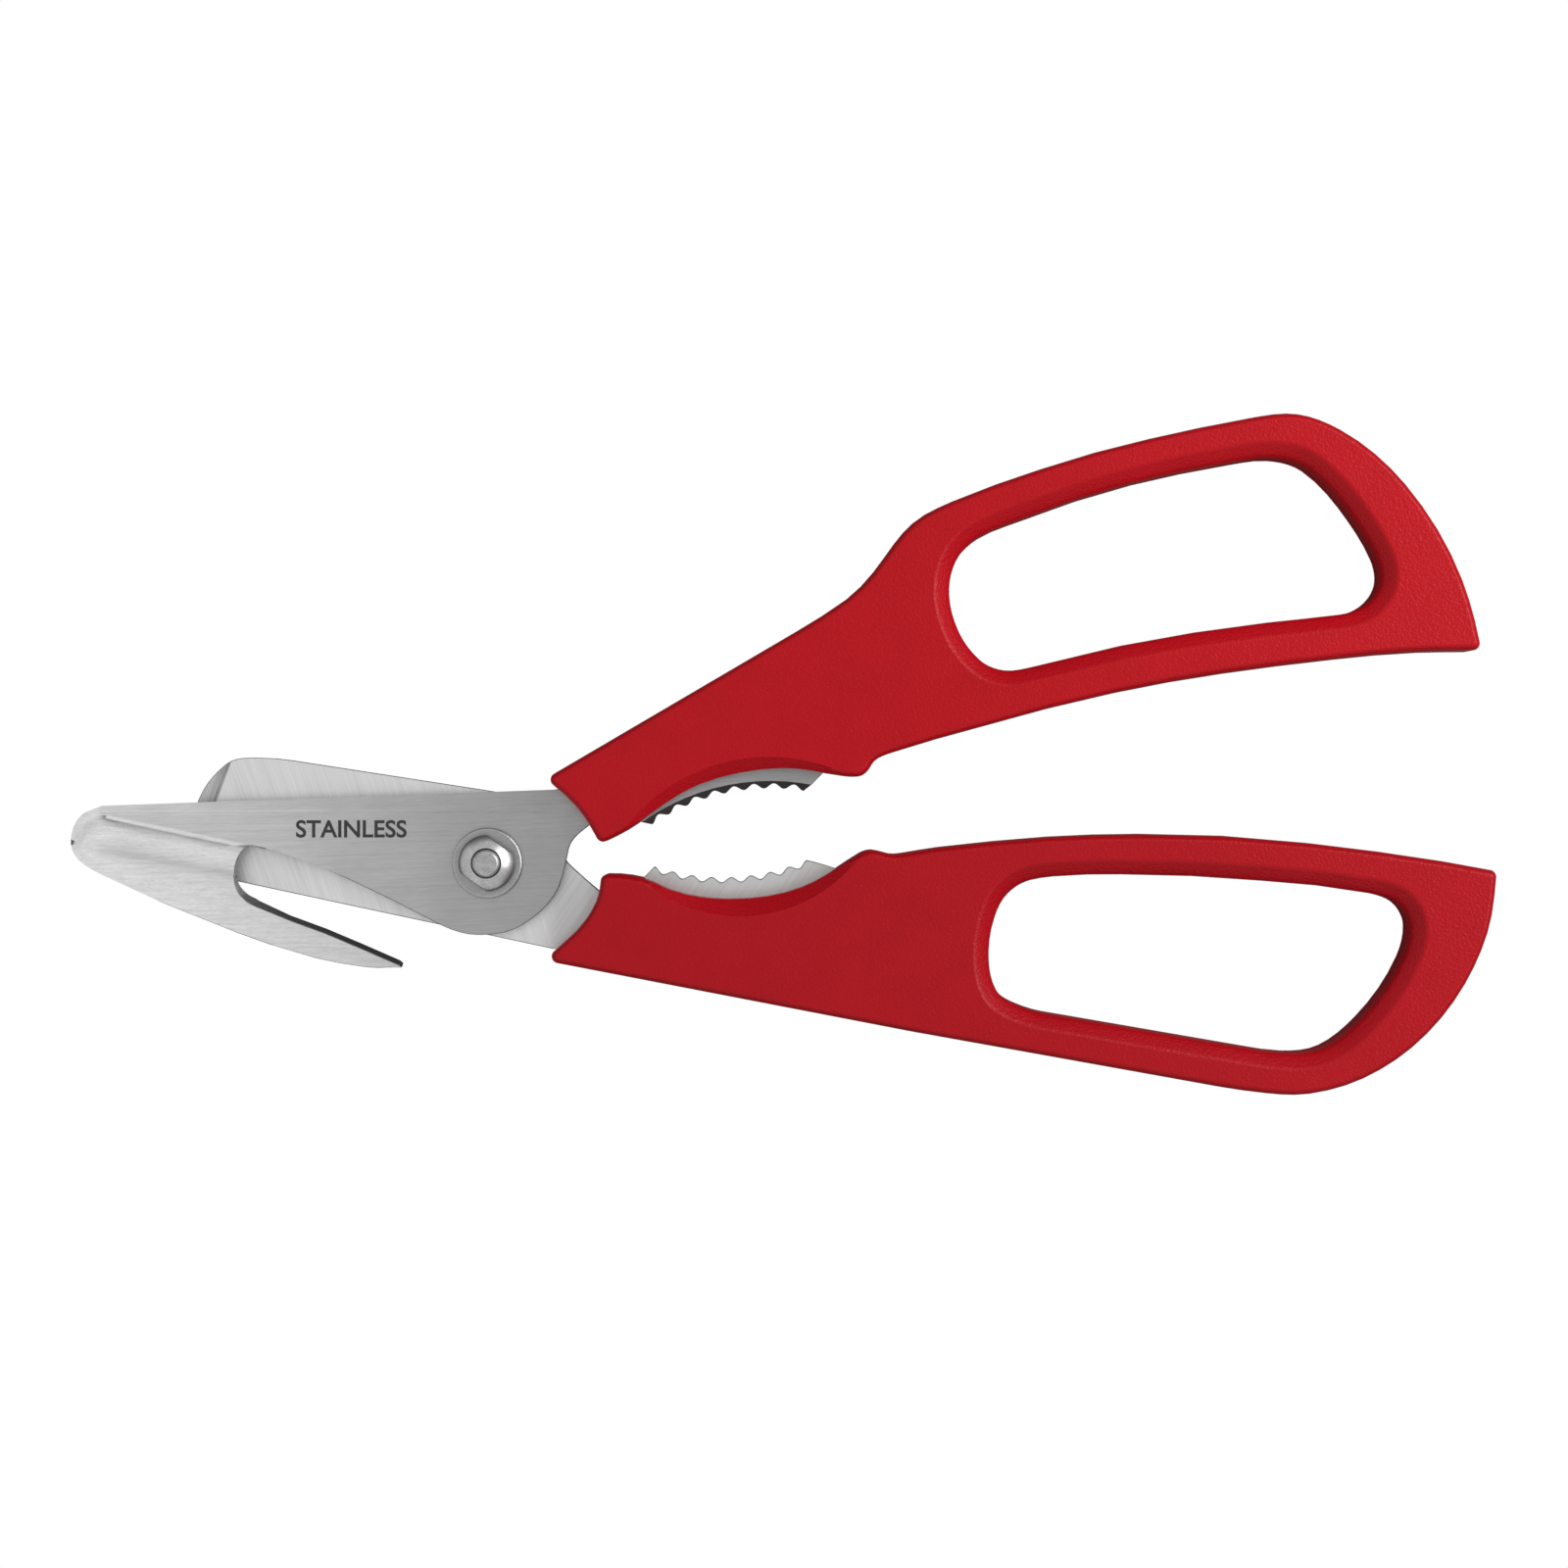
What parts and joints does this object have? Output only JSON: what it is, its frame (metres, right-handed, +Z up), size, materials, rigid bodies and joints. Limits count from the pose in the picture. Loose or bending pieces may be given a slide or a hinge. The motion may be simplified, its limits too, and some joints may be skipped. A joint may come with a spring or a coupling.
{
  "type": "poultry shears",
  "caption": "Kitchen and poultry shears with a scooped nose, a back-pointing prong, shell-cracking jaws and moulded handles with closed finger loops.",
  "frame": {"origin": "centre of the overall box at the face that the shears lie on", "axes": "+X from the nose towards the handles, +Y from the lower handle to the upper one, +Z up out of the flat side that shows the pivot nut"},
  "size_m": [0.2024, 0.0966, 0.012],
  "materials": {
    "front_blade_steel": "stainless sheet, fine brushing along the blade",
    "rear_blade_steel": "stainless sheet, ground across the blade",
    "handle_plastic": "moulded red plastic with a fine satin grain",
    "pivot_steel": "smooth stainless steel"
  },
  "bodies": {
    "lower_half": {"rear_blade": "rear_blade_steel", "lower_handle": "handle_plastic", "pivot_screw": "pivot_steel", "pivot_washer": "pivot_steel", "pivot_nut": "pivot_steel"},
    "upper_half": {"front_blade": "front_blade_steel", "upper_handle": "handle_plastic"}
  },
  "joints": [
    {"name": "pivot", "type": "hinge", "parent": "lower_half", "child": "upper_half", "pos_m": [-0.04199, -0.01547, 0.006], "axis": [0, 0, 1], "range_deg": [-11, 70]}
  ]
}
